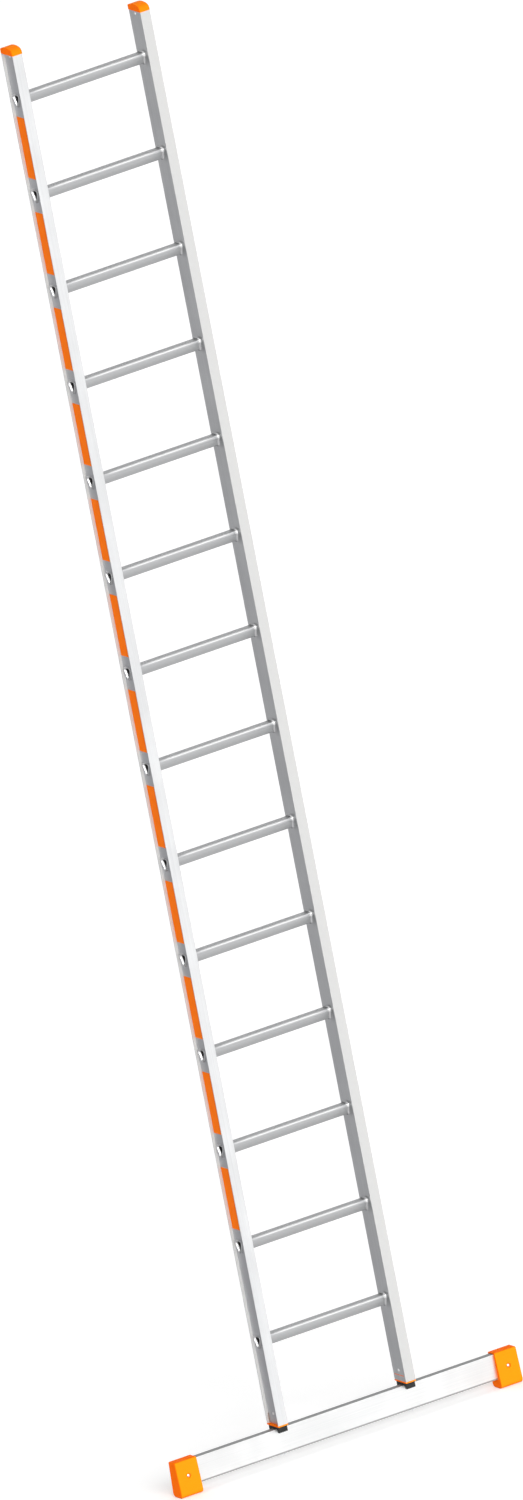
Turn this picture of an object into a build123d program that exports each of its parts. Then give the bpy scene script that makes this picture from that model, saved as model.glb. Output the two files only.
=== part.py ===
from build123d import *
import math
import os

# A single section ladder that stands on a stabiliser bar, as its separate pieces.
# Millimetres. X runs along the rungs, Y from the climber's side to the wall side, Z up the stiles.
# The origin is on the floor, under the middle of the bar.

# Rungs: hollow tubes with a flat tread, an upright band and two flanks that slope to a round keel
rung_count = 14
rung_pitch = 280.0
tread_width = 30.0
tread_corner_radius = 3.0
rung_band_height = 7.85
rung_shoulder_radius = 6.0
rung_flank_angle = 24.3
rung_keel_radius = 6.0
rung_wall = 1.8
rung_set_back = 3.0
groove_count = 7
groove_pitch = 3.2
groove_width = 1.4
groove_depth = 0.7

# Swaged rung ends: a bead on the stile's inner face and a rounded collar in the stile's channel
bead_width = 4.0
bead_rise = 3.0
bead_rounding = 2.2
collar_width = 5.0
collar_rise = 2.4
collar_rounding = 1.8
mouth_rise = 1.4
mouth_depth = 5.0
rung_hole_clearance = 0.3

# Stiles: box sections with a channel between two lips in the outer face
stile_spacing = 416.8
stile_width = 30.8
stile_depth = 65.0
stile_wall = 1.8
channel_depth = 8.4
lip_thickness = 3.5
stile_edge_radius = 1.0
lip_edge_radius = 0.8
cavity_corner_radius = 1.0
stile_above_top_rung = 120.6
stile_below_bottom_rung = 255.6

# Plugs of the caps and feet inside the stiles
plug_clearance = 0.3
plug_wall = 2.5

# Top caps: a crowned head that falls to the front, on a hollow plug
cap_overhang = 0.7
cap_edge_height = 13.9
cap_crown = 6.5
cap_front_radius = 15.0
cap_back_radius = 3.2
cap_side_radius = 2.2
cap_rivet_drop = 7.4
cap_plug_beyond_rivet = 20.0

# Rivets through a stile's inner wall, the plug and the channel wall
rivet_diameter = 4.8
rivet_head_diameter = 9.5
rivet_head_height = 1.6
rivet_clearance = 0.3

# Stabiliser bar: a rectangular tube under both stiles
bar_length = 1104.5
bar_height = 74.0
bar_thickness = 22.5
bar_wall = 2.0
bar_edge_radius = 2.0
bar_inner_radius = 0.5
bar_floor_gap = 26.0

# Feet: flange under the stile, hollow plug, snap rib and guide ribs
flange_height = 3.6
flange_overhang = 0.8
flange_corner_radius = 2.0
foot_floor = 4.0
foot_rivet_height = 30.6
foot_plug_beyond_rivet = 14.0
snap_rib_height = 1.4
snap_rib_level = 16.4
snap_rib_margin = 5.0
snap_rib_proud = 0.4
snap_slot_clearance = 0.3
guide_rib_size = 1.0
guide_rib_height = 28.6

# Rubber pads under each flange: a front and a back one that meet on the bar and hang down beside it
pad_depth = 10.0
pad_set_back = 5.0
pad_bearing = 8.4
pad_side_margin = 1.0
pad_height = 18.2
pad_edge_radius = 1.5
pad_groove_count = 4
pad_groove_pitch = 6.0
pad_groove_width = 2.0
pad_groove_depth = 1.5
pad_tongue_depth = 4.0
pad_tongue_height = 2.2
pad_tongue_margin = 5.0
pad_slot_clearance = 0.2

# Insert plates moulded into the feet, with the studs, sleeves, washers and nuts of the bar
insert_thickness = 2.2
insert_level = 0.8
insert_side_cover = 3.0
insert_end_cover = 2.5
stud_diameter = 5.0
stud_spacing = 11.5
stud_tip = 7.0
stud_tip_chamfer = 0.6
thread_clearance = 0.15
stud_hole_clearance = 0.3
sleeve_wall = 1.6
washer_diameter = 10.0
washer_thickness = 1.0
nut_width = 8.0
nut_height = 3.5

# End shoes: sleeves over the bar's ends with flared sides and a rounded sole
shoe_length = 70.0
shoe_end_wall = 4.5
shoe_top_wall = 3.5
shoe_top_depth = 37.0
shoe_sole_depth = 52.5
shoe_sole_radius = 12.0
shoe_top_radius = 4.5
shoe_end_radius = 3.0
shoe_clearance = 0.25

# Screws that hold the shoes, sunk in the shoes' front walls
screw_level = 59.0
screw_diameter = 4.2
screw_length = 18.5
screw_point = 4.0
screw_head_diameter = 10.0
screw_head_height = 2.6
screw_slot_length = 5.4
screw_slot_width = 1.2
screw_slot_depth = 1.3
screw_sink_diameter = 14.0
screw_seat_wall = 7.6
screw_clearance = 0.3

# Label strips in the stiles' channels, one in each gap between rungs but the lowest
label_length = 180.0
label_margin = 1.0
label_thickness = 0.25
label_corner_radius = 2.0
bare_gaps_at_bottom = 1

# Levels above the floor
bar_top = bar_floor_gap + bar_height
flange_bottom = bar_top + pad_bearing
stile_bottom = flange_bottom + flange_height
lowest_tread = stile_bottom + stile_below_bottom_rung
stile_length = stile_below_bottom_rung + (rung_count - 1) * rung_pitch + stile_above_top_rung
stile_top = stile_bottom + stile_length
foot_rivet_level = stile_bottom + foot_rivet_height
cap_rivet_level = stile_top - cap_rivet_drop
snap_rib_bottom = stile_bottom + snap_rib_level
snap_rib_top = snap_rib_bottom + snap_rib_height

# Places across the ladder, on its right-hand half
stile_centre = stile_spacing / 2
inner_face = stile_centre - stile_width / 2
outer_face = stile_centre + stile_width / 2
web_face = outer_face - channel_depth
cavity_inner = inner_face + stile_wall
cavity_outer = web_face - stile_wall
cavity_centre = (cavity_inner + cavity_outer) / 2
plug_width = cavity_outer - cavity_inner - 2 * plug_clearance
shoe_end = bar_length / 2 + shoe_end_wall
screw_place = shoe_end - shoe_length / 2

# Distances from front to back
cavity_depth = stile_depth - 2 * stile_wall
plug_depth = cavity_depth - 2 * plug_clearance
channel_width = stile_depth - 2 * lip_thickness
snap_rib_half = cavity_depth / 2 - snap_rib_margin
screw_seat = bar_thickness / 2 + shoe_clearance + screw_seat_wall

# Holes for the fasteners
rivet_hole = rivet_diameter + 2 * rivet_clearance
stud_hole = stud_diameter + 2 * stud_hole_clearance
thread_hole = stud_diameter + 2 * thread_clearance
screw_hole = screw_diameter + 2 * screw_clearance

# Shape of the rung below its tread
keel_point = rung_band_height + tread_width / 2 / math.tan(math.radians(rung_flank_angle))
rung_height = keel_point - rung_keel_radius * (1 / math.sin(math.radians(rung_flank_angle)) - 1)


def across(face, start, end):
    """Carry a section drawn front-to-back and upwards along X, from start to end."""
    return extrude(Pos(start, 0, 0) * (Plane.YZ * face), end - start, dir=(1, 0, 0))


def block(x_range, y_range, z_range):
    """Rectangular block between the given limits."""
    sizes = [high - low for low, high in (x_range, y_range, z_range)]
    middles = [(low + high) / 2 for low, high in (x_range, y_range, z_range)]
    return Pos(*middles) * Box(*sizes)


def pin_across(x_range, level, diameter):
    """Round pin along X at mid-depth."""
    length = x_range[1] - x_range[0]
    return Pos((x_range[0] + x_range[1]) / 2, 0, level) * Rot(0, 90, 0) * Cylinder(diameter / 2, length)


def pin_upright(x, z_range, diameter):
    """Round pin along Z at mid-depth."""
    length = z_range[1] - z_range[0]
    return Pos(x, 0, (z_range[0] + z_range[1]) / 2) * Cylinder(diameter / 2, length)


def rivet_bore(level):
    """Hole for a rivet through a stile and the plug in it."""
    return pin_across((inner_face - stile_wall, outer_face), level, rivet_hole)


def screw_bore(place, inner_y, outer_y, diameter):
    """Round bore along Y at the screws' level, between two distances in front of the bar's middle."""
    length = outer_y - inner_y
    middle = -(inner_y + outer_y) / 2
    return Pos(place, middle, screw_level) * Rot(90, 0, 0) * Cylinder(diameter / 2, length)


def left_of(piece):
    """The left-hand copy of a right-hand piece."""
    return mirror(piece, about=Plane.YZ)


def tread_level(number):
    """Height of a rung's tread above the floor; the lowest rung is number 1."""
    return lowest_tread + (number - 1) * rung_pitch


def stud_places():
    """Where the two studs of the right-hand stile stand."""
    return [stile_centre - stud_spacing / 2, stile_centre + stud_spacing / 2]


def rung_outline():
    """Outer section of a rung with its tread at height zero."""
    half = tread_width / 2
    outline = make_face(
        Polyline(
            (-half, 0),
            (half, 0),
            (half, -rung_band_height),
            (0, -keel_point),
            (-half, -rung_band_height),
            close=True,
        )
    )
    outline = fillet(outline.vertices().sort_by(Axis.Y)[0], rung_keel_radius)
    outline = fillet(outline.vertices().sort_by(Axis.Y)[-4:-2], rung_shoulder_radius)
    return fillet(outline.vertices().sort_by(Axis.Y)[-2:], tread_corner_radius)


def mouth():
    """Space in the right-hand end of a rung, which widens in a taper towards the channel."""
    end = web_face + collar_width
    sections = []
    for place, rise in ((end - mouth_depth, 0), (end, mouth_rise)):
        opening = offset(rung_outline(), rise - rung_wall)
        sections.append(Pos(place, 0, 0) * (Plane.YZ * opening))
    return loft(sections, ruled=True)


def rung():
    """One rung: tube, grooved tread, beads against the stiles and collars in the channels."""
    outline = rung_outline()
    end = web_face + collar_width
    bead_outline = offset(outline, bead_rise)
    bead = across(bead_outline, inner_face - bead_width, inner_face)
    bead_rim = bead.faces().sort_by(Axis.X)[0].edges()
    bead = fillet(bead_rim, bead_rounding)
    collar = across(offset(outline, collar_rise), web_face, end)
    collar_rim = collar.faces().sort_by(Axis.X)[-1].edges()
    collar = fillet(collar_rim, collar_rounding)
    body = across(outline, -end, end)
    body += [bead, left_of(bead), collar, left_of(collar)]
    body -= across(offset(outline, -rung_wall), -end, end)
    body -= [mouth(), left_of(mouth())]
    clear_half = inner_face - bead_width
    for index in range(groove_count):
        middle = (index - (groove_count - 1) / 2) * groove_pitch
        body -= block(
            (-clear_half, clear_half),
            (middle - groove_width / 2, middle + groove_width / 2),
            (-groove_depth, groove_depth),
        )
    return body


def stile():
    """Right-hand stile: extruded section with rung holes, rivet holes and the slot for the snap rib."""
    front = -stile_depth / 2
    channel_front = -channel_width / 2
    section = make_face(
        Polyline(
            (inner_face, front),
            (outer_face, front),
            (outer_face, channel_front),
            (web_face, channel_front),
            (web_face, -channel_front),
            (outer_face, -channel_front),
            (outer_face, -front),
            (inner_face, -front),
            close=True,
        )
    )
    lip_corners = section.vertices().filter_by_position(Axis.Y, channel_front, -channel_front)
    section = fillet(lip_corners, lip_edge_radius)
    edge_corners = section.vertices().sort_by(Axis.Y)
    section = fillet(edge_corners[:2] + edge_corners[-2:], stile_edge_radius)
    cavity = RectangleRounded(cavity_outer - cavity_inner, cavity_depth, cavity_corner_radius)
    section -= Pos(cavity_centre, 0) * cavity
    body = extrude(Pos(0, 0, stile_bottom) * section, stile_length)
    rung_hole = across(offset(rung_outline(), rung_hole_clearance), inner_face - stile_wall, outer_face)
    body -= [Pos(0, rung_set_back, tread_level(number)) * rung_hole for number in range(1, rung_count + 1)]
    body -= [rivet_bore(foot_rivet_level), rivet_bore(cap_rivet_level)]
    slot_half = snap_rib_half + snap_slot_clearance
    return body - block(
        (inner_face - stile_wall, cavity_inner + plug_clearance),
        (-slot_half, slot_half),
        (snap_rib_bottom - snap_slot_clearance, snap_rib_top + snap_slot_clearance),
    )


def plug(z_range):
    """Solid block that slides into a stile's cavity."""
    return block(
        (cavity_centre - plug_width / 2, cavity_centre + plug_width / 2),
        (-plug_depth / 2, plug_depth / 2),
        z_range,
    )


def plug_core(z_range):
    """What is left out of a plug to make it hollow."""
    return block(
        (cavity_centre - plug_width / 2 + plug_wall, cavity_centre + plug_width / 2 - plug_wall),
        (-plug_depth / 2 + plug_wall, plug_depth / 2 - plug_wall),
        z_range,
    )


def dome(diameter, height):
    """Domed head, a slice of a ball, that stands on the YZ plane and points along X."""
    rim_radius = diameter / 2
    ball_radius = (rim_radius**2 + height**2) / (2 * height)
    rim_angle = math.degrees(math.asin(rim_radius / ball_radius))
    half_section = make_face(
        [
            Line((0, 0), (height, 0)),
            CenterArc((height - ball_radius, 0), ball_radius, 0, rim_angle),
            Line((0, rim_radius), (0, 0)),
        ]
    )
    return revolve(half_section, Axis.X)


def rivet(level):
    """Rivet along X with a domed head on the stile's inner face and one on the channel wall."""
    head = dome(rivet_head_diameter, rivet_head_height)
    shank = pin_across((inner_face, web_face), level, rivet_diameter)
    outer_head = Pos(web_face, 0, level) * head
    inner_head = Pos(inner_face, 0, level) * Rot(0, 0, 180) * head
    return shank + [outer_head, inner_head]


def top_cap():
    """Right-hand top cap: crowned head with a rounded front edge, on a hollow riveted plug."""
    half_depth = stile_depth / 2 + cap_overhang
    half_width = stile_width / 2 + cap_overhang
    profile = make_face(
        [
            Line((-half_depth, 0), (half_depth, 0)),
            Line((half_depth, 0), (half_depth, cap_edge_height)),
            ThreePointArc(
                (half_depth, cap_edge_height),
                (0, cap_edge_height + cap_crown),
                (-half_depth, cap_edge_height),
            ),
            Line((-half_depth, cap_edge_height), (-half_depth, 0)),
        ]
    )
    back_corner = profile.vertices().sort_by(Axis.X)[-2:].sort_by(Axis.Y)[-1]
    profile = fillet(back_corner, cap_back_radius)
    front_corner = profile.vertices().sort_by(Axis.X)[:2].sort_by(Axis.Y)[-1]
    profile = fillet(front_corner, cap_front_radius)
    head = Pos(0, 0, stile_top) * across(profile, stile_centre - half_width, stile_centre + half_width)
    for side in (head.faces().sort_by(Axis.X)[0], head.faces().sort_by(Axis.X)[-1]):
        rim = side.edges().sort_by(Axis.Z)[1:]
        head = fillet(rim, cap_side_radius)
    plug_bottom = cap_rivet_level - cap_plug_beyond_rivet
    head += plug((plug_bottom, stile_top))
    head -= plug_core((plug_bottom, stile_top))
    return head - rivet_bore(cap_rivet_level)


def insert_ranges():
    """Limits of the plate that is moulded into the right-hand foot."""
    half_width = stile_width / 2 - insert_side_cover
    half_depth = bar_thickness / 2 - insert_end_cover
    bottom = flange_bottom + insert_level
    return (
        (stile_centre - half_width, stile_centre + half_width),
        (-half_depth, half_depth),
        (bottom, bottom + insert_thickness),
    )


def insert_plate():
    """Steel plate in the right-hand foot that the studs screw into."""
    x_range, y_range, z_range = insert_ranges()
    plate = block(x_range, y_range, z_range)
    for place in stud_places():
        plate -= pin_upright(place, z_range, thread_hole)
    return plate


def foot_plug():
    """Right-hand foot: flange, hollow plug, snap rib, guide ribs and slots for the pads."""
    half_width = stile_width / 2 + flange_overhang
    half_depth = stile_depth / 2 + flange_overhang
    flange_face = RectangleRounded(2 * half_width, 2 * half_depth, flange_corner_radius)
    body = extrude(Pos(stile_centre, 0, flange_bottom) * flange_face, flange_height)
    plug_top = foot_rivet_level + foot_plug_beyond_rivet
    body += plug((stile_bottom, plug_top))
    body -= plug_core((stile_bottom + foot_floor, plug_top))
    body += block(
        (inner_face - snap_rib_proud, cavity_inner + plug_clearance),
        (-snap_rib_half, snap_rib_half),
        (snap_rib_bottom, snap_rib_top),
    )
    for side in (-1, 1):
        corner = side * (channel_width / 2 - lip_edge_radius)
        near = corner - side * guide_rib_size
        body += block(
            (web_face + lip_edge_radius, web_face + lip_edge_radius + guide_rib_size),
            (min(corner, near), max(corner, near)),
            (stile_bottom, stile_bottom + guide_rib_height),
        )
        body -= pad_tongue(side, pad_slot_clearance)
    body -= block(*insert_ranges())
    for place in stud_places():
        body -= pin_upright(place, (flange_bottom, flange_bottom + insert_level), stud_hole)
    return body - rivet_bore(foot_rivet_level)


def pad_middle(side):
    """Middle of a pad from front to back; side is -1 at the front and 1 at the back."""
    return side * ((stile_depth - pad_depth) / 2 - pad_set_back)


def pad_tongue(side, growth):
    """Tongue that holds a pad in the flange, grown sideways by a clearance for its slot."""
    half_width = stile_width / 2 - pad_tongue_margin + growth
    half_depth = pad_tongue_depth / 2 + growth
    middle = pad_middle(side)
    return block(
        (stile_centre - half_width, stile_centre + half_width),
        (middle - half_depth, middle + half_depth),
        (flange_bottom, flange_bottom + pad_tongue_height + growth),
    )


def rubber_pad(side):
    """Right-hand rubber pad with a grooved sole; side is -1 at the front and 1 at the back."""
    middle = pad_middle(side)
    x_range = (inner_face + pad_side_margin, outer_face - pad_side_margin)
    y_range = (middle - pad_depth / 2, middle + pad_depth / 2)
    bottom = flange_bottom - pad_height
    pad = block(x_range, y_range, (bottom, flange_bottom))
    pad = fillet(pad.edges().filter_by(Axis.Z) + pad.faces().sort_by(Axis.Z)[0].edges(), pad_edge_radius)
    pad += block(x_range, sorted((0, middle)), (bar_top, flange_bottom))
    for place in stud_places():
        pad -= pin_upright(place, (bar_top, flange_bottom), stud_hole)
    for index in range(pad_groove_count):
        place = stile_centre + (index - (pad_groove_count - 1) / 2) * pad_groove_pitch
        pad -= block(
            (place - pad_groove_width / 2, place + pad_groove_width / 2),
            y_range,
            (bottom, bottom + pad_groove_depth),
        )
    return pad + pad_tongue(side, 0)


def stud(place):
    """Threaded stud from the insert plate down through the bar, with a chamfered tip."""
    plate_top = insert_ranges()[2][1]
    rod = pin_upright(place, (bar_floor_gap - stud_tip, plate_top), stud_diameter)
    return chamfer(rod.edges().sort_by(Axis.Z)[0], stud_tip_chamfer)


def sleeve(place):
    """Spacer tube round a stud, between the bar's upper and lower walls."""
    z_range = (bar_floor_gap + bar_wall, bar_top - bar_wall)
    tube = pin_upright(place, z_range, stud_hole + 2 * sleeve_wall)
    return tube - pin_upright(place, z_range, stud_hole)


def washer(place):
    """Flat washer against the underside of the bar."""
    z_range = (bar_floor_gap - washer_thickness, bar_floor_gap)
    return pin_upright(place, z_range, washer_diameter) - pin_upright(place, z_range, stud_hole)


def nut(place):
    """Hexagon nut under the washer."""
    top = bar_floor_gap - washer_thickness
    hexagon = RegularPolygon(nut_width / 2, 6, major_radius=False)
    body = extrude(Pos(place, 0, top - nut_height) * hexagon, nut_height)
    return body - pin_upright(place, (top - nut_height, top), thread_hole)


def stabiliser_bar():
    """Rectangular tube with holes for the studs and the shoe screws."""
    outer = RectangleRounded(bar_thickness, bar_height, bar_edge_radius)
    inner = RectangleRounded(bar_thickness - 2 * bar_wall, bar_height - 2 * bar_wall, bar_inner_radius)
    section = Pos(0, bar_floor_gap + bar_height / 2) * (outer - inner)
    tube = across(section, -bar_length / 2, bar_length / 2)
    for side in (-1, 1):
        for place in stud_places():
            tube -= pin_upright(side * place, (bar_floor_gap, bar_top), stud_hole)
        tube -= screw_bore(side * screw_place, 0, bar_thickness / 2, screw_hole)
    return tube


def bar_shoe():
    """Right-hand end shoe: flared sleeve, rounded sole, socket for the bar and a sunk screw hole."""
    top = bar_top + shoe_clearance + shoe_top_wall
    outline = make_face(
        Polyline(
            (-shoe_sole_depth / 2, 0),
            (shoe_sole_depth / 2, 0),
            (shoe_top_depth / 2, top),
            (-shoe_top_depth / 2, top),
            close=True,
        )
    )
    outline = fillet(outline.vertices().sort_by(Axis.Y)[:2], shoe_sole_radius)
    outline = fillet(outline.vertices().sort_by(Axis.Y)[-2:], shoe_top_radius)
    body = across(outline, shoe_end - shoe_length, shoe_end)
    body = fillet(body.faces().sort_by(Axis.X)[-1].edges(), shoe_end_radius)
    socket_half = bar_thickness / 2 + shoe_clearance
    body -= block(
        (shoe_end - shoe_length, shoe_end - shoe_end_wall),
        (-socket_half, socket_half),
        (bar_floor_gap, bar_top + shoe_clearance),
    )
    body -= screw_bore(screw_place, 0, screw_seat, screw_hole)
    return body - screw_bore(screw_place, screw_seat, shoe_sole_depth, screw_sink_diameter)


def shoe_screw():
    """Round head tapping screw through the right-hand shoe's front wall into the bar."""
    shank_radius = screw_diameter / 2
    half_section = make_face(
        Polyline(
            (0, 0),
            (0, screw_length),
            (shank_radius, screw_length - screw_point),
            (shank_radius, 0),
            close=True,
        )
    )
    screw = revolve(half_section, Axis.Y)
    screw += Rot(0, 0, -90) * dome(screw_head_diameter, screw_head_height)
    slot_middle = -screw_head_height + screw_slot_depth / 2
    for turn in (0, 90):
        slot = Box(screw_slot_length, screw_slot_depth, screw_slot_width)
        screw -= Pos(0, slot_middle, 0) * Rot(0, turn, 0) * slot
    return Pos(screw_place, -screw_seat, screw_level) * screw


def label(number):
    """Right-hand label strip on the channel wall, midway between two rungs."""
    lower_rung = number + bare_gaps_at_bottom
    middle = tread_level(lower_rung) + (rung_pitch - rung_height) / 2
    strip = RectangleRounded(channel_width - 2 * label_margin, label_length, label_corner_radius)
    return across(Pos(0, middle) * strip, web_face, web_face + label_thickness)


def ladder_pieces():
    """Every piece of the ladder by name; small identical fasteners share one entry."""
    pieces = {}
    right_pieces = {
        "stile": stile(),
        "top_cap": top_cap(),
        "foot_plug": foot_plug(),
        "front_pad": rubber_pad(-1),
        "rear_pad": rubber_pad(1),
        "bar_shoe": bar_shoe(),
    }
    for name, piece in right_pieces.items():
        pieces["left_" + name] = left_of(piece)
        pieces["right_" + name] = piece
    one_rung = rung()
    for number in range(1, rung_count + 1):
        pieces[f"rung_{number:02d}"] = Pos(0, rung_set_back, tread_level(number)) * one_rung
    for number in range(1, rung_count - bare_gaps_at_bottom):
        strip = label(number)
        pieces[f"left_label_{number:02d}"] = left_of(strip)
        pieces[f"right_label_{number:02d}"] = strip
    pieces["stabiliser_bar"] = stabiliser_bar()
    right_fasteners = {
        "top_cap_rivets": [rivet(cap_rivet_level)],
        "foot_rivets": [rivet(foot_rivet_level)],
        "foot_insert_plates": [insert_plate()],
        "stabiliser_studs": [stud(place) for place in stud_places()],
        "bar_spacer_sleeves": [sleeve(place) for place in stud_places()],
        "stabiliser_washers": [washer(place) for place in stud_places()],
        "stabiliser_nuts": [nut(place) for place in stud_places()],
        "bar_shoe_screws": [shoe_screw()],
    }
    for name, fasteners in right_fasteners.items():
        pieces[name] = Compound(fasteners + [left_of(piece) for piece in fasteners])
    return pieces


os.makedirs("parts", exist_ok=True)
for node, piece in ladder_pieces().items():
    export_step(piece, f"parts/{node}.step")
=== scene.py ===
import math

import bpy
import numpy as np
from mathutils import Matrix, Vector


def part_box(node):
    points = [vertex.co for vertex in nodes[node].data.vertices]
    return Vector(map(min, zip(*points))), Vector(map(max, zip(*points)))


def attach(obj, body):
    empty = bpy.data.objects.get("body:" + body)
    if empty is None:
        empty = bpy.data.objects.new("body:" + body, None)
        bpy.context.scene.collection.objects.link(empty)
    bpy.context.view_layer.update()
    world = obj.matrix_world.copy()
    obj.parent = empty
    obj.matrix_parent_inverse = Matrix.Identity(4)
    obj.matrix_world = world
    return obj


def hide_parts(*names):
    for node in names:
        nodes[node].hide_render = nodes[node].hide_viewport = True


# A single section ladder on a stabiliser bar. Metres. X runs along the rungs, Y from the climber's
# side to the wall side, Z up the stiles, and the floor is at height zero.

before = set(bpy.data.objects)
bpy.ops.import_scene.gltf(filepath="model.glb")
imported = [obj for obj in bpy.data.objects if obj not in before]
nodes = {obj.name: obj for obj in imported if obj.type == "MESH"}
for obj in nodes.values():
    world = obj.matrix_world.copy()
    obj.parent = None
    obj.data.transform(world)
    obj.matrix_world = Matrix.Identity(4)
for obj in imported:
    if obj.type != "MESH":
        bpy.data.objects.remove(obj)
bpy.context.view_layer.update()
MILLIMETRE = 0.001

# The bead at each end of a rung
bead_width = 4 * MILLIMETRE
bead_rise = 3 * MILLIMETRE

# Faces and levels that the finishes and the new pieces go by, taken from the frame
stile_low, stile_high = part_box("right_stile")
label_low, label_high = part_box("right_label_01")
bar_low, bar_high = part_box("stabiliser_bar")
rung_low, rung_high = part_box("rung_01")
rung_middle = (rung_low[1] + rung_high[1]) / 2
tread_half = (rung_high[1] - rung_low[1]) / 2 - bead_rise
lowest_tread = rung_high[2] - bead_rise
rung_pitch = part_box("rung_02")[1][2] - rung_high[2]
inner_face = stile_low[0]
outer_face = stile_high[0]
web_face = label_low[0]


def linear(colour):
    """Linear red, green, blue and alpha of an sRGB hex colour."""
    channels = np.array([int(colour[i : i + 2], 16) for i in (1, 3, 5)]) / 255
    curve = np.where(channels <= 0.04045, channels / 12.92, ((channels + 0.055) / 1.055) ** 2.4)
    return (*curve.tolist(), 1.0)


def add(tree, kind, inputs=None, **settings):
    """Add a node with its settings. An input is named or counted among the sockets in use, and is
    given as a value or as the node or socket that feeds it."""
    node = tree.nodes.new(kind)
    for setting, value in settings.items():
        setattr(node, setting, value)
    in_use = [socket for socket in node.inputs if socket.enabled]
    for key, value in (inputs or {}).items():
        socket = in_use[key] if isinstance(key, int) else next(s for s in in_use if s.name == key)
        if isinstance(value, bpy.types.Node):
            value = next(output for output in value.outputs if output.enabled)
        if isinstance(value, bpy.types.NodeSocket):
            tree.links.new(value, socket)
        else:
            socket.default_value = value
    return node


def new_material(name):
    """An empty node material with its tree and its Object coordinates."""
    material = bpy.data.materials.new(name)
    material.use_nodes = True
    tree = material.node_tree
    tree.nodes.clear()
    place = add(tree, "ShaderNodeTexCoord").outputs["Object"]
    return material, tree, place


def spots(tree, place, size_mm, detail=2.0):
    """Noise from 0 to 1 whose spots have the given sizes in millimetres along X, Y and Z."""
    per_metre = [1 / (size * MILLIMETRE) for size in size_mm]
    sized = add(tree, "ShaderNodeMapping", {"Vector": place, "Scale": per_metre})
    noise = add(tree, "ShaderNodeTexNoise", {"Vector": sized, "Scale": 1.0, "Detail": detail})
    return add(tree, "ShaderNodeMapRange", {"Value": noise, "From Min": 0.3, "From Max": 0.7})


def window(tree, place, ranges):
    """Mask that is 1 where a place, or a normal, lies inside all ranges and fades to 0 outside them.
    Each range gives an axis, in bars where the sign doesn't count, then where the mask is 0 and where
    it is 1."""
    along = add(tree, "ShaderNodeSeparateXYZ", {"Vector": place}).outputs
    mask = None
    for axis, empty, full in ranges:
        value = along[axis.strip("|")]
        if axis.startswith("|"):
            value = add(tree, "ShaderNodeMath", {0: value}, operation="ABSOLUTE")
        limits = {"Value": value, "From Min": empty, "From Max": full}
        edge = add(tree, "ShaderNodeMapRange", limits, interpolation_type="SMOOTHSTEP")
        if mask is not None:
            edge = add(tree, "ShaderNodeMath", {0: mask, 1: edge}, operation="MULTIPLY")
        mask = edge
    return mask


def from_tread(tree, place):
    """Object coordinates counted from the middle of the nearest rung's tread."""
    along = add(tree, "ShaderNodeSeparateXYZ", {"Vector": place}).outputs
    start = lowest_tread - rung_pitch / 2
    from_start = add(tree, "ShaderNodeMath", {0: along["Z"], 1: start}, operation="SUBTRACT")
    in_pitch = add(tree, "ShaderNodeMath", {0: from_start, 1: rung_pitch}, operation="FLOORED_MODULO")
    height = add(tree, "ShaderNodeMath", {0: in_pitch, 1: rung_pitch / 2}, operation="SUBTRACT")
    depth = add(tree, "ShaderNodeMath", {0: along["Y"], 1: rung_middle}, operation="SUBTRACT")
    parts = {"X": along["X"], "Y": depth, "Z": height}
    return add(tree, "ShaderNodeCombineXYZ", parts).outputs["Vector"]


def channel_dust_and_shade(tree, place):
    """Dust and oxide on the floor of a stile's channel, with painted shade over them, fading up the lips."""
    lip_inside = label_high[1] + 2 * MILLIMETRE
    return window(
        tree,
        place,
        [
            ("|X|", web_face - 1 * MILLIMETRE, web_face),
            ("|X|", web_face + 1.2 * MILLIMETRE, web_face + 0.3 * MILLIMETRE),
            ("|Y|", lip_inside, lip_inside - 0.5 * MILLIMETRE),
        ],
    )


def chalky_lips(tree, place):
    """Chalky oxide on the inner sides of the channel's lips, which the weather reaches and hands don't."""
    lip_inside = label_high[1] + 1 * MILLIMETRE
    return window(
        tree,
        place,
        [
            ("|X|", web_face + 0.1 * MILLIMETRE, web_face + 0.9 * MILLIMETRE),
            ("|X|", outer_face - 0.1 * MILLIMETRE, outer_face - 0.6 * MILLIMETRE),
            ("|Y|", lip_inside - 0.6 * MILLIMETRE, lip_inside - 0.2 * MILLIMETRE),
            ("|Y|", lip_inside + 0.8 * MILLIMETRE, lip_inside + 0.4 * MILLIMETRE),
        ],
    )


def painted_shade_right_front(tree, place):
    """Painted shade: grey that makes the right-hand stile's front duller than the left-hand one's."""
    return window(
        tree,
        place,
        [
            ("X", 0.0, inner_face),
            ("Y", stile_low[1] + 1.2 * MILLIMETRE, stile_low[1] + 0.4 * MILLIMETRE),
        ],
    )


def painted_nose_highlight(tree, place):
    """Painted highlight on the front corner of each tread, between the stiles."""
    nose = 4 * MILLIMETRE
    return window(
        tree,
        from_tread(tree, place),
        [
            ("Y", 1.25 * nose - tread_half, 0.25 * nose - tread_half),
            ("Z", -1.5 * nose, -nose),
            ("|X|", inner_face, inner_face - 60 * MILLIMETRE),
        ],
    )


def groove_dirt(tree, place):
    """Dirt at the bottom of the tread's grooves."""
    tread_edge = tread_half - 0.5 * MILLIMETRE
    return window(
        tree,
        from_tread(tree, place),
        [
            ("Z", -0.1 * MILLIMETRE, -0.6 * MILLIMETRE),
            ("Z", -1.2 * MILLIMETRE, -0.9 * MILLIMETRE),
            ("|Y|", tread_edge, tread_edge - 1 * MILLIMETRE),
        ],
    )


def painted_bar_top_shade(tree, place):
    """Painted shade that darkens the top of the bar."""
    return window(tree, place, [("Z", bar_high[2] - 1.5 * MILLIMETRE, bar_high[2] - 0.4 * MILLIMETRE)])


def painted_lower_edge_shade(tree, place):
    """Painted shade: a dark line along the bar's rounded lower edge."""
    return window(tree, place, [("Z", bar_low[2] + 5.4 * MILLIMETRE, bar_low[2] + 4 * MILLIMETRE)])


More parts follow.
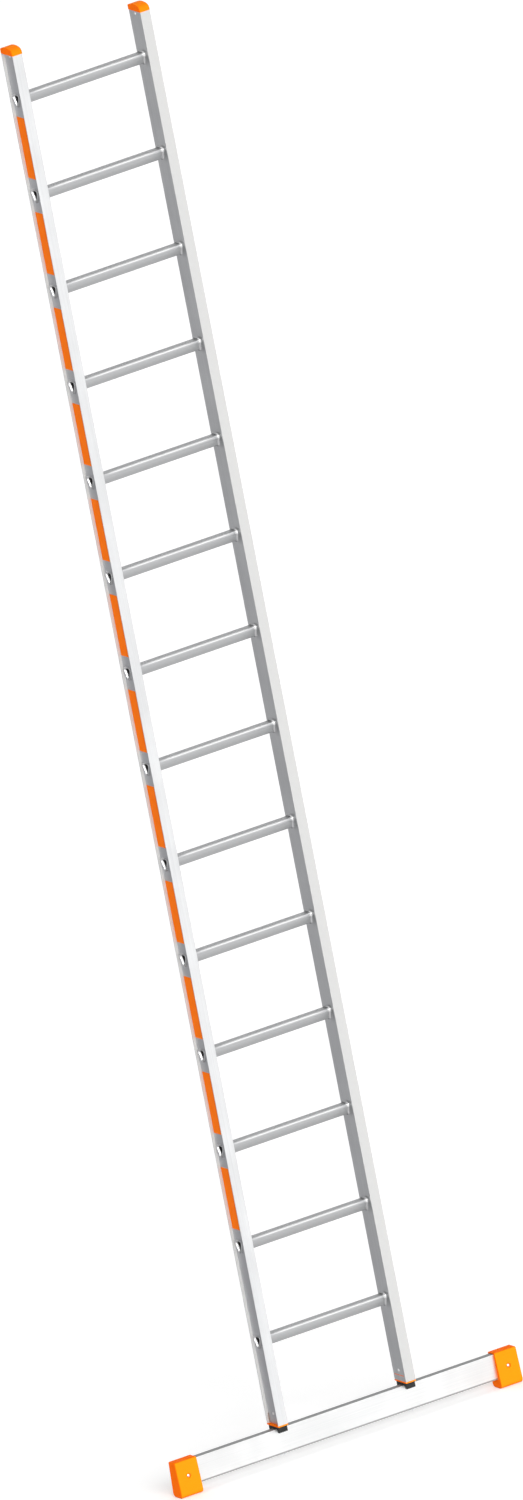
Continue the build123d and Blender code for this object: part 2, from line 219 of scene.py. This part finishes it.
# Where two of the marks lie on a bead: its front, but not the collar in the channel
bead_front = [
    ("|X|", inner_face + 2 * MILLIMETRE, inner_face + 1 * MILLIMETRE),
    ("Y", -4 * MILLIMETRE, -9 * MILLIMETRE),
]
bead_end = inner_face - bead_width


def painted_bead_highlight(tree, place):
    """Painted highlight on the upper front corner of the bead, and on the tube beside it."""
    return window(
        tree,
        from_tread(tree, place),
        [
            *bead_front,
            ("|X|", bead_end - 7 * MILLIMETRE, bead_end - 1 * MILLIMETRE),
            ("Z", -12 * MILLIMETRE, -6 * MILLIMETRE),
        ],
    )


def painted_lit_bead_front(tree, place):
    """Painted light on the front of the bead."""
    edge = ("|X|", bead_end - 2 * MILLIMETRE, bead_end)
    return window(tree, from_tread(tree, place), [*bead_front, edge])


def painted_corner_shade(tree, place):
    """Painted shade on the tread in the corner before the bead."""
    return window(
        tree,
        from_tread(tree, place),
        [
            ("|X|", bead_end - 14 * MILLIMETRE, bead_end - 4 * MILLIMETRE),
            ("Y", -12 * MILLIMETRE, -6 * MILLIMETRE),
            ("Z", -2 * MILLIMETRE, -0.8 * MILLIMETRE),
            ("Z", 2 * MILLIMETRE, 1 * MILLIMETRE),
        ],
    )


def painted_lit_mouth(tree, place):
    """Painted light on the wall-side flank in a tube's flared mouth."""
    return window(
        tree,
        from_tread(tree, place),
        [
            ("|X|", web_face - 1.5 * MILLIMETRE, web_face + 0.5 * MILLIMETRE),
            ("Y", -2 * MILLIMETRE, 3 * MILLIMETRE),
        ],
    )


def painted_bore_shadow(tree, place):
    """Painted shadow in a tube's open ends, as deep as the stiles."""
    return window(
        tree,
        place,
        [
            ("|X|", inner_face + 2 * MILLIMETRE, inner_face + 4 * MILLIMETRE),
            ("|X|", web_face - 1.2 * MILLIMETRE, web_face - 3 * MILLIMETRE),
        ],
    )


def painted_keel_shade(tree, place):
    """Painted shade on the underside of a rung."""
    return window(tree, from_tread(tree, place), [("Z", -9 * MILLIMETRE, -27 * MILLIMETRE)])


def painted_bead_shadow(tree, place):
    """Soft grey painted shadow on a stile's inner face, round each rung's front."""
    return window(
        tree,
        from_tread(tree, place),
        [
            ("|X|", inner_face + 1.5 * MILLIMETRE, inner_face + 0.5 * MILLIMETRE),
            ("Y", -35 * MILLIMETRE, -27 * MILLIMETRE),
            ("Y", 0.0, -14 * MILLIMETRE),
            ("Z", 11 * MILLIMETRE, 3 * MILLIMETRE),
            ("Z", -46 * MILLIMETRE, -4 * MILLIMETRE),
        ],
    )


def mill_aluminium(name, line_mm, pale, dark, marks):
    """Mill finish aluminium: satin metal with fine drawing lines, a cloudy oxide and a few marks of
    use and of painted light and shade. The lines have the given sizes in millimetres along X, Y
    and Z, about three times as wide as real ones, so that they show; equal sizes give the grain of a
    pressed piece. Each mark is its mask, its colour, its roughness and its share of bare metal."""
    material, tree, place = new_material(name)
    lines = spots(tree, place, line_mm, detail=3.0)
    clouds = spots(tree, place, (90.0, 90.0, 140.0))
    speckle = spots(tree, place, (1.6, 1.6, 1.6))
    shades = {"Factor": lines, "A": linear(pale), "B": linear(dark)}
    colour = add(tree, "ShaderNodeMix", shades, data_type="RGBA")
    roughness = add(tree, "ShaderNodeMapRange", {"Value": clouds, "To Min": 0.34, "To Max": 0.46})
    metallic = 1.0
    for mask_of, mark_colour, mark_roughness, bare_metal in marks:
        mask = mask_of(tree, place)
        shades = {"Factor": mask, "A": colour, "B": linear(mark_colour)}
        colour = add(tree, "ShaderNodeMix", shades, data_type="RGBA")
        roughness = add(tree, "ShaderNodeMix", {"Factor": mask, "A": roughness, "B": mark_roughness})
        if bare_metal < 1:
            metallic = add(tree, "ShaderNodeMix", {"Factor": mask, "A": metallic, "B": bare_metal})
    relief = add(tree, "ShaderNodeMath", {0: lines, 1: speckle}, operation="ADD")
    bump = add(tree, "ShaderNodeBump", {"Height": relief, "Strength": 0.08, "Distance": 0.4 * MILLIMETRE})
    surface = {"Base Color": colour, "Metallic": metallic, "Roughness": roughness, "Normal": bump}
    shader = add(tree, "ShaderNodeBsdfPrincipled", surface)
    add(tree, "ShaderNodeOutputMaterial", {"Surface": shader})
    return material


def moulded_polypropylene(name, painted_light_normals, painted_light_colour):
    """Injection moulded polypropylene: a full orange with a soft sheen from the fine grain of the
    mould, drawn coarser than it is. Faces whose normals lie in the given range get a yellower
    orange as painted light, parts in the stiles' channels a greyer brown, and the soles scuffs."""
    material, tree, place = new_material(name)
    mould_grain = spots(tree, place, (1.5, 1.5, 1.5))
    clouds = spots(tree, place, (25.0, 25.0, 25.0))
    scratches = spots(tree, place, (9.0, 1.0, 2.0))
    shades = {"Factor": clouds, "A": linear("#FF7208"), "B": linear("#FC6D06")}
    colour = add(tree, "ShaderNodeMix", shades, data_type="RGBA")
    facing = add(tree, "ShaderNodeNewGeometry").outputs["Normal"]
    # Painted light: a yellower orange on the faces whose normals lie in the range
    painted_light = window(tree, facing, [painted_light_normals])
    shades = {"Factor": painted_light, "A": colour, "B": linear(painted_light_colour)}
    colour = add(tree, "ShaderNodeMix", shades, data_type="RGBA")
    in_channel = [
        ("|X|", web_face, web_face + 0.5 * MILLIMETRE),
        ("|X|", outer_face, outer_face - 1 * MILLIMETRE),
        ("Z", stile_low[2], stile_low[2] + 1 * MILLIMETRE),
        ("Z", stile_high[2], stile_high[2] - 1 * MILLIMETRE),
    ]
    # The parts inside the stiles' channels are a greyer brown
    channel_tone = window(tree, place, in_channel)
    shades = {"Factor": channel_tone, "A": colour, "B": linear("#A5846E")}
    colour = add(tree, "ShaderNodeMix", shades, data_type="RGBA")
    sole = window(tree, place, [("Z", 5 * MILLIMETRE, 0.0)])
    scuffed = add(tree, "ShaderNodeMath", {0: sole, 1: scratches}, operation="MULTIPLY")
    shades = {"Factor": scuffed, "A": colour, "B": linear("#B5701F")}
    colour = add(tree, "ShaderNodeMix", shades, data_type="RGBA")
    roughness = add(tree, "ShaderNodeMapRange", {"Value": mould_grain, "To Min": 0.42, "To Max": 0.54})
    bump = add(tree, "ShaderNodeBump", {"Height": mould_grain, "Strength": 0.2, "Distance": 0.3 * MILLIMETRE})
    surface = {
        "Base Color": colour,
        "Roughness": roughness,
        "IOR": 1.49,
        "Specular IOR Level": 0.01,
        "Normal": bump,
    }
    shader = add(tree, "ShaderNodeBsdfPrincipled", surface)
    add(tree, "ShaderNodeOutputMaterial", {"Surface": shader})
    return material


def moulded_rubber():
    """Black moulded rubber: nearly matt, with a fine grain and a dusty bloom."""
    material, tree, place = new_material("moulded_rubber_black")
    fine = spots(tree, place, (1.0, 1.0, 1.0))
    bloom = spots(tree, place, (8.0, 8.0, 4.0))
    shades = {"Factor": bloom, "A": linear("#0D0E0E"), "B": linear("#171A1B")}
    colour = add(tree, "ShaderNodeMix", shades, data_type="RGBA")
    roughness = add(tree, "ShaderNodeMapRange", {"Value": fine, "To Min": 0.62, "To Max": 0.78})
    bump = add(tree, "ShaderNodeBump", {"Height": fine, "Strength": 0.3, "Distance": 0.3 * MILLIMETRE})
    surface = {"Base Color": colour, "Roughness": roughness, "IOR": 1.52, "Normal": bump}
    shader = add(tree, "ShaderNodeBsdfPrincipled", surface)
    add(tree, "ShaderNodeOutputMaterial", {"Surface": shader})
    return material


def zinc_plated_steel():
    """Zinc plated steel: a bright cool metal with the small spangle of the plating."""
    material, tree, place = new_material("zinc_plated_steel")
    spangle = spots(tree, place, (2.0, 2.0, 2.0))
    shades = {"Factor": spangle, "A": linear("#EDEEEF"), "B": linear("#DCDFE1")}
    colour = add(tree, "ShaderNodeMix", shades, data_type="RGBA")
    roughness = add(tree, "ShaderNodeMapRange", {"Value": spangle, "To Min": 0.24, "To Max": 0.36})
    surface = {"Base Color": colour, "Metallic": 1.0, "Roughness": roughness}
    shader = add(tree, "ShaderNodeBsdfPrincipled", surface)
    add(tree, "ShaderNodeOutputMaterial", {"Surface": shader})
    return material


def label_film():
    """Orange vinyl film stuck to the metal: even colour, satin gloss and faint waves from the roller."""
    material, tree, place = new_material("vinyl_label_film_orange")
    waves = spots(tree, place, (12.0, 12.0, 30.0))
    shades = {"Factor": waves, "A": linear("#FF7A10"), "B": linear("#FB730C")}
    colour = add(tree, "ShaderNodeMix", shades, data_type="RGBA")
    roughness = add(tree, "ShaderNodeMapRange", {"Value": waves, "To Min": 0.4, "To Max": 0.5})
    bump = add(tree, "ShaderNodeBump", {"Height": waves, "Strength": 0.1, "Distance": 0.3 * MILLIMETRE})
    surface = {
        "Base Color": colour,
        "Roughness": roughness,
        "IOR": 1.53,
        "Specular IOR Level": 0.02,
        "Normal": bump,
    }
    shader = add(tree, "ShaderNodeBsdfPrincipled", surface)
    add(tree, "ShaderNodeOutputMaterial", {"Surface": shader})
    return material


# Finishes: drawing lines up the stiles and along the rungs and the bar, and their marks of use and of painted
# light and shade
upright_lines = (2.4, 2.4, 420.0)
cross_lines = (420.0, 2.4, 2.4)
pressed_grain = (2.0, 2.0, 2.0)
stile_marks = [
    # Painted shade over the dust on the floor of each channel
    (channel_dust_and_shade, "#CACBCE", 0.5, 1.0),
    (chalky_lips, "#D5D5D3", 0.6, 0.15),
    # Painted shadow round each rung's front on the stiles' inner faces
    (painted_bead_shadow, "#9A9B9C", 0.5, 1.0),
    # Painted shade on the right-hand stile's front
    (painted_shade_right_front, "#D5D5D4", 0.4, 1.0),
]
rung_marks = [
    # Painted shade under each rung
    (painted_keel_shade, "#AFB0B1", 0.44, 1.0),
    (groove_dirt, "#B6B7B9", 0.6, 1.0),
    # Painted highlight on each tread's front corner
    (painted_nose_highlight, "#EDEDED", 0.34, 1.0),
    # Painted light on each bead's front
    (painted_lit_bead_front, "#D6D6D7", 0.36, 1.0),
    # Painted highlight on each bead's upper front corner
    (painted_bead_highlight, "#FDFDFD", 0.34, 1.0),
    # Painted shade on the tread before each bead
    (painted_corner_shade, "#999A9B", 0.5, 1.0),
    # Painted light in each tube's mouth
    (painted_lit_mouth, "#E2E2E3", 0.36, 1.0),
    # Painted shadow in each tube's bore
    (painted_bore_shadow, "#3C3B3A", 0.7, 0.3),
]
# Painted shade on the bar's top and along its lower edge
bar_marks = [(painted_bar_top_shade, "#9C9D9D", 0.55, 1.0), (painted_lower_edge_shade, "#A2A2A1", 0.6, 1.0)]
stile_metal = mill_aluminium("extruded_aluminium_stile", upright_lines, "#E2E3E4", "#DADBDC", stile_marks)
rung_metal = mill_aluminium("extruded_aluminium_rung", cross_lines, "#C3C4C5", "#BABBBD", rung_marks)
bar_metal = mill_aluminium("extruded_aluminium_bar", cross_lines, "#ECECEC", "#E5E6E6", bar_marks)
rivet_metal = mill_aluminium("pressed_aluminium_rivet", pressed_grain, "#F3F3F3", "#EAEBEB", [])
# Painted light: a yellower orange on the shoes' fronts and backs and on the caps' faces that don't face the
# sides
shoe_plastic = moulded_polypropylene("moulded_polypropylene_shoe", ("|Y|", 0.2, 0.8), "#FF9012")
cap_plastic = moulded_polypropylene("moulded_polypropylene_cap", ("|X|", 0.8, 0.3), "#FF830D")
rubber = moulded_rubber()
steel = zinc_plated_steel()
film = label_film()

# The finish of each kind of node, by the end of its name
finishes = {
    "stile": stile_metal,
    "rung": rung_metal,
    "stabiliser_bar": bar_metal,
    "rivets": rivet_metal,
    "top_cap": cap_plastic,
    "foot_plug": shoe_plastic,
    "bar_shoe": shoe_plastic,
    "pad": rubber,
    "insert_plates": steel,
    "studs": steel,
    "sleeves": steel,
    "washers": steel,
    "nuts": steel,
    "screws": steel,
    "label": film,
}
for node_name, piece in nodes.items():
    kind = node_name.rstrip("_0123456789")
    finish = next(finishes[key] for key in finishes if kind.endswith(key))
    for material_slot in piece.material_slots:
        material_slot.material = finish


# Edges of the new pieces that bend by more than this angle stay sharp
sharp_angle = math.radians(35)


def skinned(name, shells, finish, node_name):
    """A piece of closed shells that stands for a node. A shell is an array of rings of points, which
    run counter-clockwise about the direction in which the rings follow each other. Four-sided faces
    join each ring to the next, and a fan to its middle closes the first and the last ring."""
    points = []
    faces = []
    start = 0
    for rings in shells:
        count, steps = rings.shape[:2]
        here = start + np.arange(count * steps).reshape(count, steps)
        onward = np.roll(here, -1, axis=1)
        first_middle = start + count * steps
        last_middle = first_middle + 1
        sides = np.stack([here[:-1], onward[:-1], onward[1:], here[1:]], axis=-1).reshape(-1, 4)
        first_fan = np.stack([onward[0], here[0], np.full(steps, first_middle)], axis=-1)
        last_fan = np.stack([here[-1], onward[-1], np.full(steps, last_middle)], axis=-1)
        points += [*rings.reshape(-1, 3), rings[0].mean(axis=0), rings[-1].mean(axis=0)]
        faces += [*sides.tolist(), *first_fan.tolist(), *last_fan.tolist()]
        start = last_middle + 1
    mesh = bpy.data.meshes.new(name)
    mesh.from_pydata(np.array(points).tolist(), [], faces)
    mesh.materials.append(finish)
    mesh.shade_smooth()
    mesh.set_sharp_from_angle(angle=sharp_angle)
    piece = bpy.data.objects.new(name, mesh)
    bpy.context.scene.collection.objects.link(piece)
    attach(piece, "root")
    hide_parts(node_name)


# Blind rivets, with the counts of points along a head and round the axis
rivet_head_height = 1.6 * MILLIMETRE
rivet_head_radius = 4.75 * MILLIMETRE
rivet_radius = 2.4 * MILLIMETRE
mandrel_radius = 1.4 * MILLIMETRE
head_points = 10
rivet_points = 28


def blind_rivet(level, side):
    """Rings of a rivet along X: a profile of distance and radius turned about the axis. The set head
    is a quarter ellipse round the sunk end of the mandrel, the shank is straight, and the far head is
    a fuller quarter ellipse. The left-hand side, -1, is the mirror image with its rings in reverse."""
    bend = np.linspace(0, math.pi / 2, head_points)
    sunk_end = inner_face - rivet_head_height * np.array([0.5, 0.55, 0.25, 0.25, 0.9])
    sunk_radius = mandrel_radius * np.array([0.3, 0.8, 0.85, 1.0, 1.0])
    set_head = inner_face - rivet_head_height * np.append(0.15 + 0.85 * np.cos(bend), 0.0)
    set_rim = mandrel_radius + (rivet_head_radius - mandrel_radius) * np.append(np.sin(bend), 1.0)
    shank = np.array([inner_face, web_face])
    shank_rim = np.array([rivet_radius, rivet_radius])
    far_head = web_face + rivet_head_height * np.append(0.0, 0.3 + 0.7 * np.sin(bend[:-1]))
    far_rim = rivet_head_radius * np.append(1.0, np.cos(bend[:-1]))
    distance = np.concatenate([sunk_end, set_head, shank, far_head])[:, None]
    radius = np.concatenate([sunk_radius, set_rim, shank_rim, far_rim])[:, None]
    angle = np.linspace(0, 2 * math.pi, rivet_points, endpoint=False)[None, :]
    across = radius * np.cos(angle)
    rings = np.stack([distance + 0 * angle, across, level + radius * np.sin(angle)], axis=-1)
    if side < 0:
        rings = rings[::-1] * np.array([-1.0, 1.0, 1.0])
    return rings


for node_name in ("top_cap_rivets", "foot_rivets"):
    rivet_low, rivet_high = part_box(node_name)
    rivet_level = (rivet_low[2] + rivet_high[2]) / 2
    shells = [blind_rivet(rivet_level, side) for side in (-1, 1)]
    skinned("blind_" + node_name, shells, rivet_metal, node_name)


# Studs of 5 mm with the coarse thread of that size, and the counts of points round and up each turn
stud_radius = 2.5 * MILLIMETRE
thread_pitch = 0.8 * MILLIMETRE
thread_depth = 0.49 * MILLIMETRE
thread_length = 22 * MILLIMETRE
tip_chamfer = 0.6 * MILLIMETRE
stud_points = 24
levels_per_turn = 8


def threaded_stud(place, bottom, top):
    """Rings of an upright stud. In the thread the radius is the core's plus the thread's depth times
    a triangle wave of height over pitch less angle over a full turn, which fades into the plain
    shank; a 45 degree chamfer limits the radius at the tip."""
    thread_top = bottom + thread_length
    thread_levels = np.linspace(bottom, thread_top, round(levels_per_turn * thread_length / thread_pitch))
    level = np.append(thread_levels, [thread_top + thread_pitch, top])[:, None]
    angle = np.linspace(0, 2 * math.pi, stud_points, endpoint=False)[None, :]
    turns = level / thread_pitch - angle / (2 * math.pi)
    ridge = np.abs(2 * (turns % 1.0) - 1)
    threaded = stud_radius - thread_depth * (1 - ridge)
    in_thread = np.clip((thread_top - level) / (2 * thread_pitch), 0.0, 1.0)
    radius = stud_radius + in_thread * (threaded - stud_radius)
    radius = np.minimum(radius, stud_radius - tip_chamfer + level - bottom)
    return np.stack([place + radius * np.cos(angle), radius * np.sin(angle), level + 0 * angle], axis=-1)


stud_low, stud_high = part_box("stabiliser_studs")
stud_outer = stud_high[0] - stud_radius
stud_inner = inner_face + outer_face - stud_outer
stud_places = (-stud_outer, -stud_inner, stud_inner, stud_outer)
shells = [threaded_stud(place, stud_low[2], stud_high[2]) for place in stud_places]
skinned("threaded_stabiliser_studs", shells, steel, "stabiliser_studs")


# Floor: a pale matt sheet that the camera and the metal see as white, with the ladder's shadow on it
floor_glow = 0.21
floor_half = 120.0
floor_mesh = bpy.data.meshes.new("floor")
corners = np.array([(-1, -1, 0), (1, -1, 0), (1, 1, 0), (-1, 1, 0)]) * floor_half
floor_mesh.from_pydata(corners.tolist(), [], [(0, 1, 2, 3)])
floor = bpy.data.objects.new("floor", floor_mesh)
bpy.context.scene.collection.objects.link(floor)
floor_paper, tree = new_material("matt_floor_paper")[:2]
matt = add(tree, "ShaderNodeBsdfDiffuse", {"Color": linear("#F4F4F4")})
ray = add(tree, "ShaderNodeLightPath").outputs
seen = add(tree, "ShaderNodeMath", {0: ray["Is Camera Ray"], 1: ray["Is Glossy Ray"]}, operation="MAXIMUM")
seen = add(tree, "ShaderNodeMath", {0: seen, 1: ray["Is Transmission Ray"]}, operation="MAXIMUM")
lift = add(tree, "ShaderNodeMath", {0: seen, 1: floor_glow}, operation="MULTIPLY")
glow = add(tree, "ShaderNodeEmission", {"Strength": lift})
both = add(tree, "ShaderNodeAddShader", {0: matt, 1: glow})
add(tree, "ShaderNodeOutputMaterial", {"Surface": both})
floor_mesh.materials.append(floor_paper)

# Grey card that lies behind the ladder to its left, rises far behind, and shows only in the metal's sides
card_left = -16.0
card_right = 0.2
card_near = 0.05
card_far = 14.0
card_top = 9.0
wall_right = -1.5
card_level = 2 * MILLIMETRE
card_mesh = bpy.data.meshes.new("grey_card")
card_corners = [
    (card_left, card_near, card_level),
    (card_right, card_near, card_level),
    (card_right, card_far, card_level),
    (wall_right, card_far, card_level),
    (card_left, card_far, card_level),
    (wall_right, card_far, card_top),
    (card_left, card_far, card_top),
]
card_mesh.from_pydata(card_corners, [], [(0, 1, 2, 3, 4), (4, 3, 5, 6)])
card = bpy.data.objects.new("grey_card", card_mesh)
bpy.context.scene.collection.objects.link(card)
card.visible_camera = False
card.visible_diffuse = False
card.visible_transmission = False
card.visible_shadow = False
card_paper, tree = new_material("grey_card_paper")[:2]
paper = add(tree, "ShaderNodeEmission", {"Color": linear("#A7A7A9")})
add(tree, "ShaderNodeOutputMaterial", {"Surface": paper})
card_mesh.materials.append(card_paper)

# Studio: brightest behind the ladder, less bright at its sides, and dimmer before and above it
front_wall = 0.8
back_wall = 1.3
side_wall = 1.1
ceiling = 0.75
world = bpy.data.worlds.new("studio")
world.use_nodes = True
bpy.context.scene.world = world
tree = world.node_tree
tree.nodes.clear()
direction = add(tree, "ShaderNodeTexCoord").outputs["Generated"]
along = add(tree, "ShaderNodeSeparateXYZ", {"Vector": direction}).outputs
behind = {"Value": along["Y"], "From Min": -0.5, "From Max": 0.4, "To Min": front_wall, "To Max": back_wall}
walls = add(tree, "ShaderNodeMapRange", behind, interpolation_type="SMOOTHSTEP")
aside = add(tree, "ShaderNodeMath", {0: along["X"]}, operation="ABSOLUTE")
aside = add(tree, "ShaderNodeMapRange", {"Value": aside, "From Min": 0.6}, interpolation_type="SMOOTHSTEP")
walls = add(tree, "ShaderNodeMix", {"Factor": aside, "A": walls, "B": side_wall})
upward = {"Value": along["Z"], "From Min": 0.2, "From Max": 0.9}
overhead = add(tree, "ShaderNodeMapRange", upward, interpolation_type="SMOOTHSTEP")
level = add(tree, "ShaderNodeMix", {"Factor": overhead, "A": walls, "B": ceiling})
sky = add(tree, "ShaderNodeBackground", {"Strength": level})
add(tree, "ShaderNodeOutputWorld", {"Surface": sky})

# Lamp: one distant softbox in front of the ladder, a little to its left and above
front_strength = 2.5
front_spread = math.radians(40)
front_direction = Vector((-0.1, -1.0, 0.35))
softbox_lamp = bpy.data.lights.new("front_softbox", "SUN")
softbox_lamp.energy = front_strength
softbox_lamp.angle = front_spread
softbox = bpy.data.objects.new("front_softbox", softbox_lamp)
softbox.rotation_mode = "QUATERNION"
softbox.rotation_quaternion = (-front_direction).to_track_quat("-Z", "Y")
bpy.context.scene.collection.objects.link(softbox)

# Camera: parallel view from the front left, a little above, turned so that the ladder leans to the left
view_azimuth = math.radians(-27.32)
view_elevation = math.radians(15.87)
view_roll = math.radians(-10.99)
view_target = Vector((-0.1302, -0.5285, 2.1460))
view_height = 4.1527
camera_distance = 8.0
view_depth = 400.0
camera_data = bpy.data.cameras.new("camera")
camera_data.type = "ORTHO"
camera_data.ortho_scale = view_height
camera_data.clip_end = view_depth
camera = bpy.data.objects.new("camera", camera_data)
turn = Matrix.Rotation(view_azimuth, 4, "Z") @ Matrix.Rotation(math.pi / 2 - view_elevation, 4, "X")
turn = turn @ Matrix.Rotation(view_roll, 4, "Z")
camera.matrix_world = Matrix.Translation(view_target + turn.to_3x3() @ Vector((0, 0, camera_distance))) @ turn
bpy.context.scene.collection.objects.link(camera)
bpy.context.scene.camera = camera
bpy.context.scene.view_settings.view_transform = "Standard"
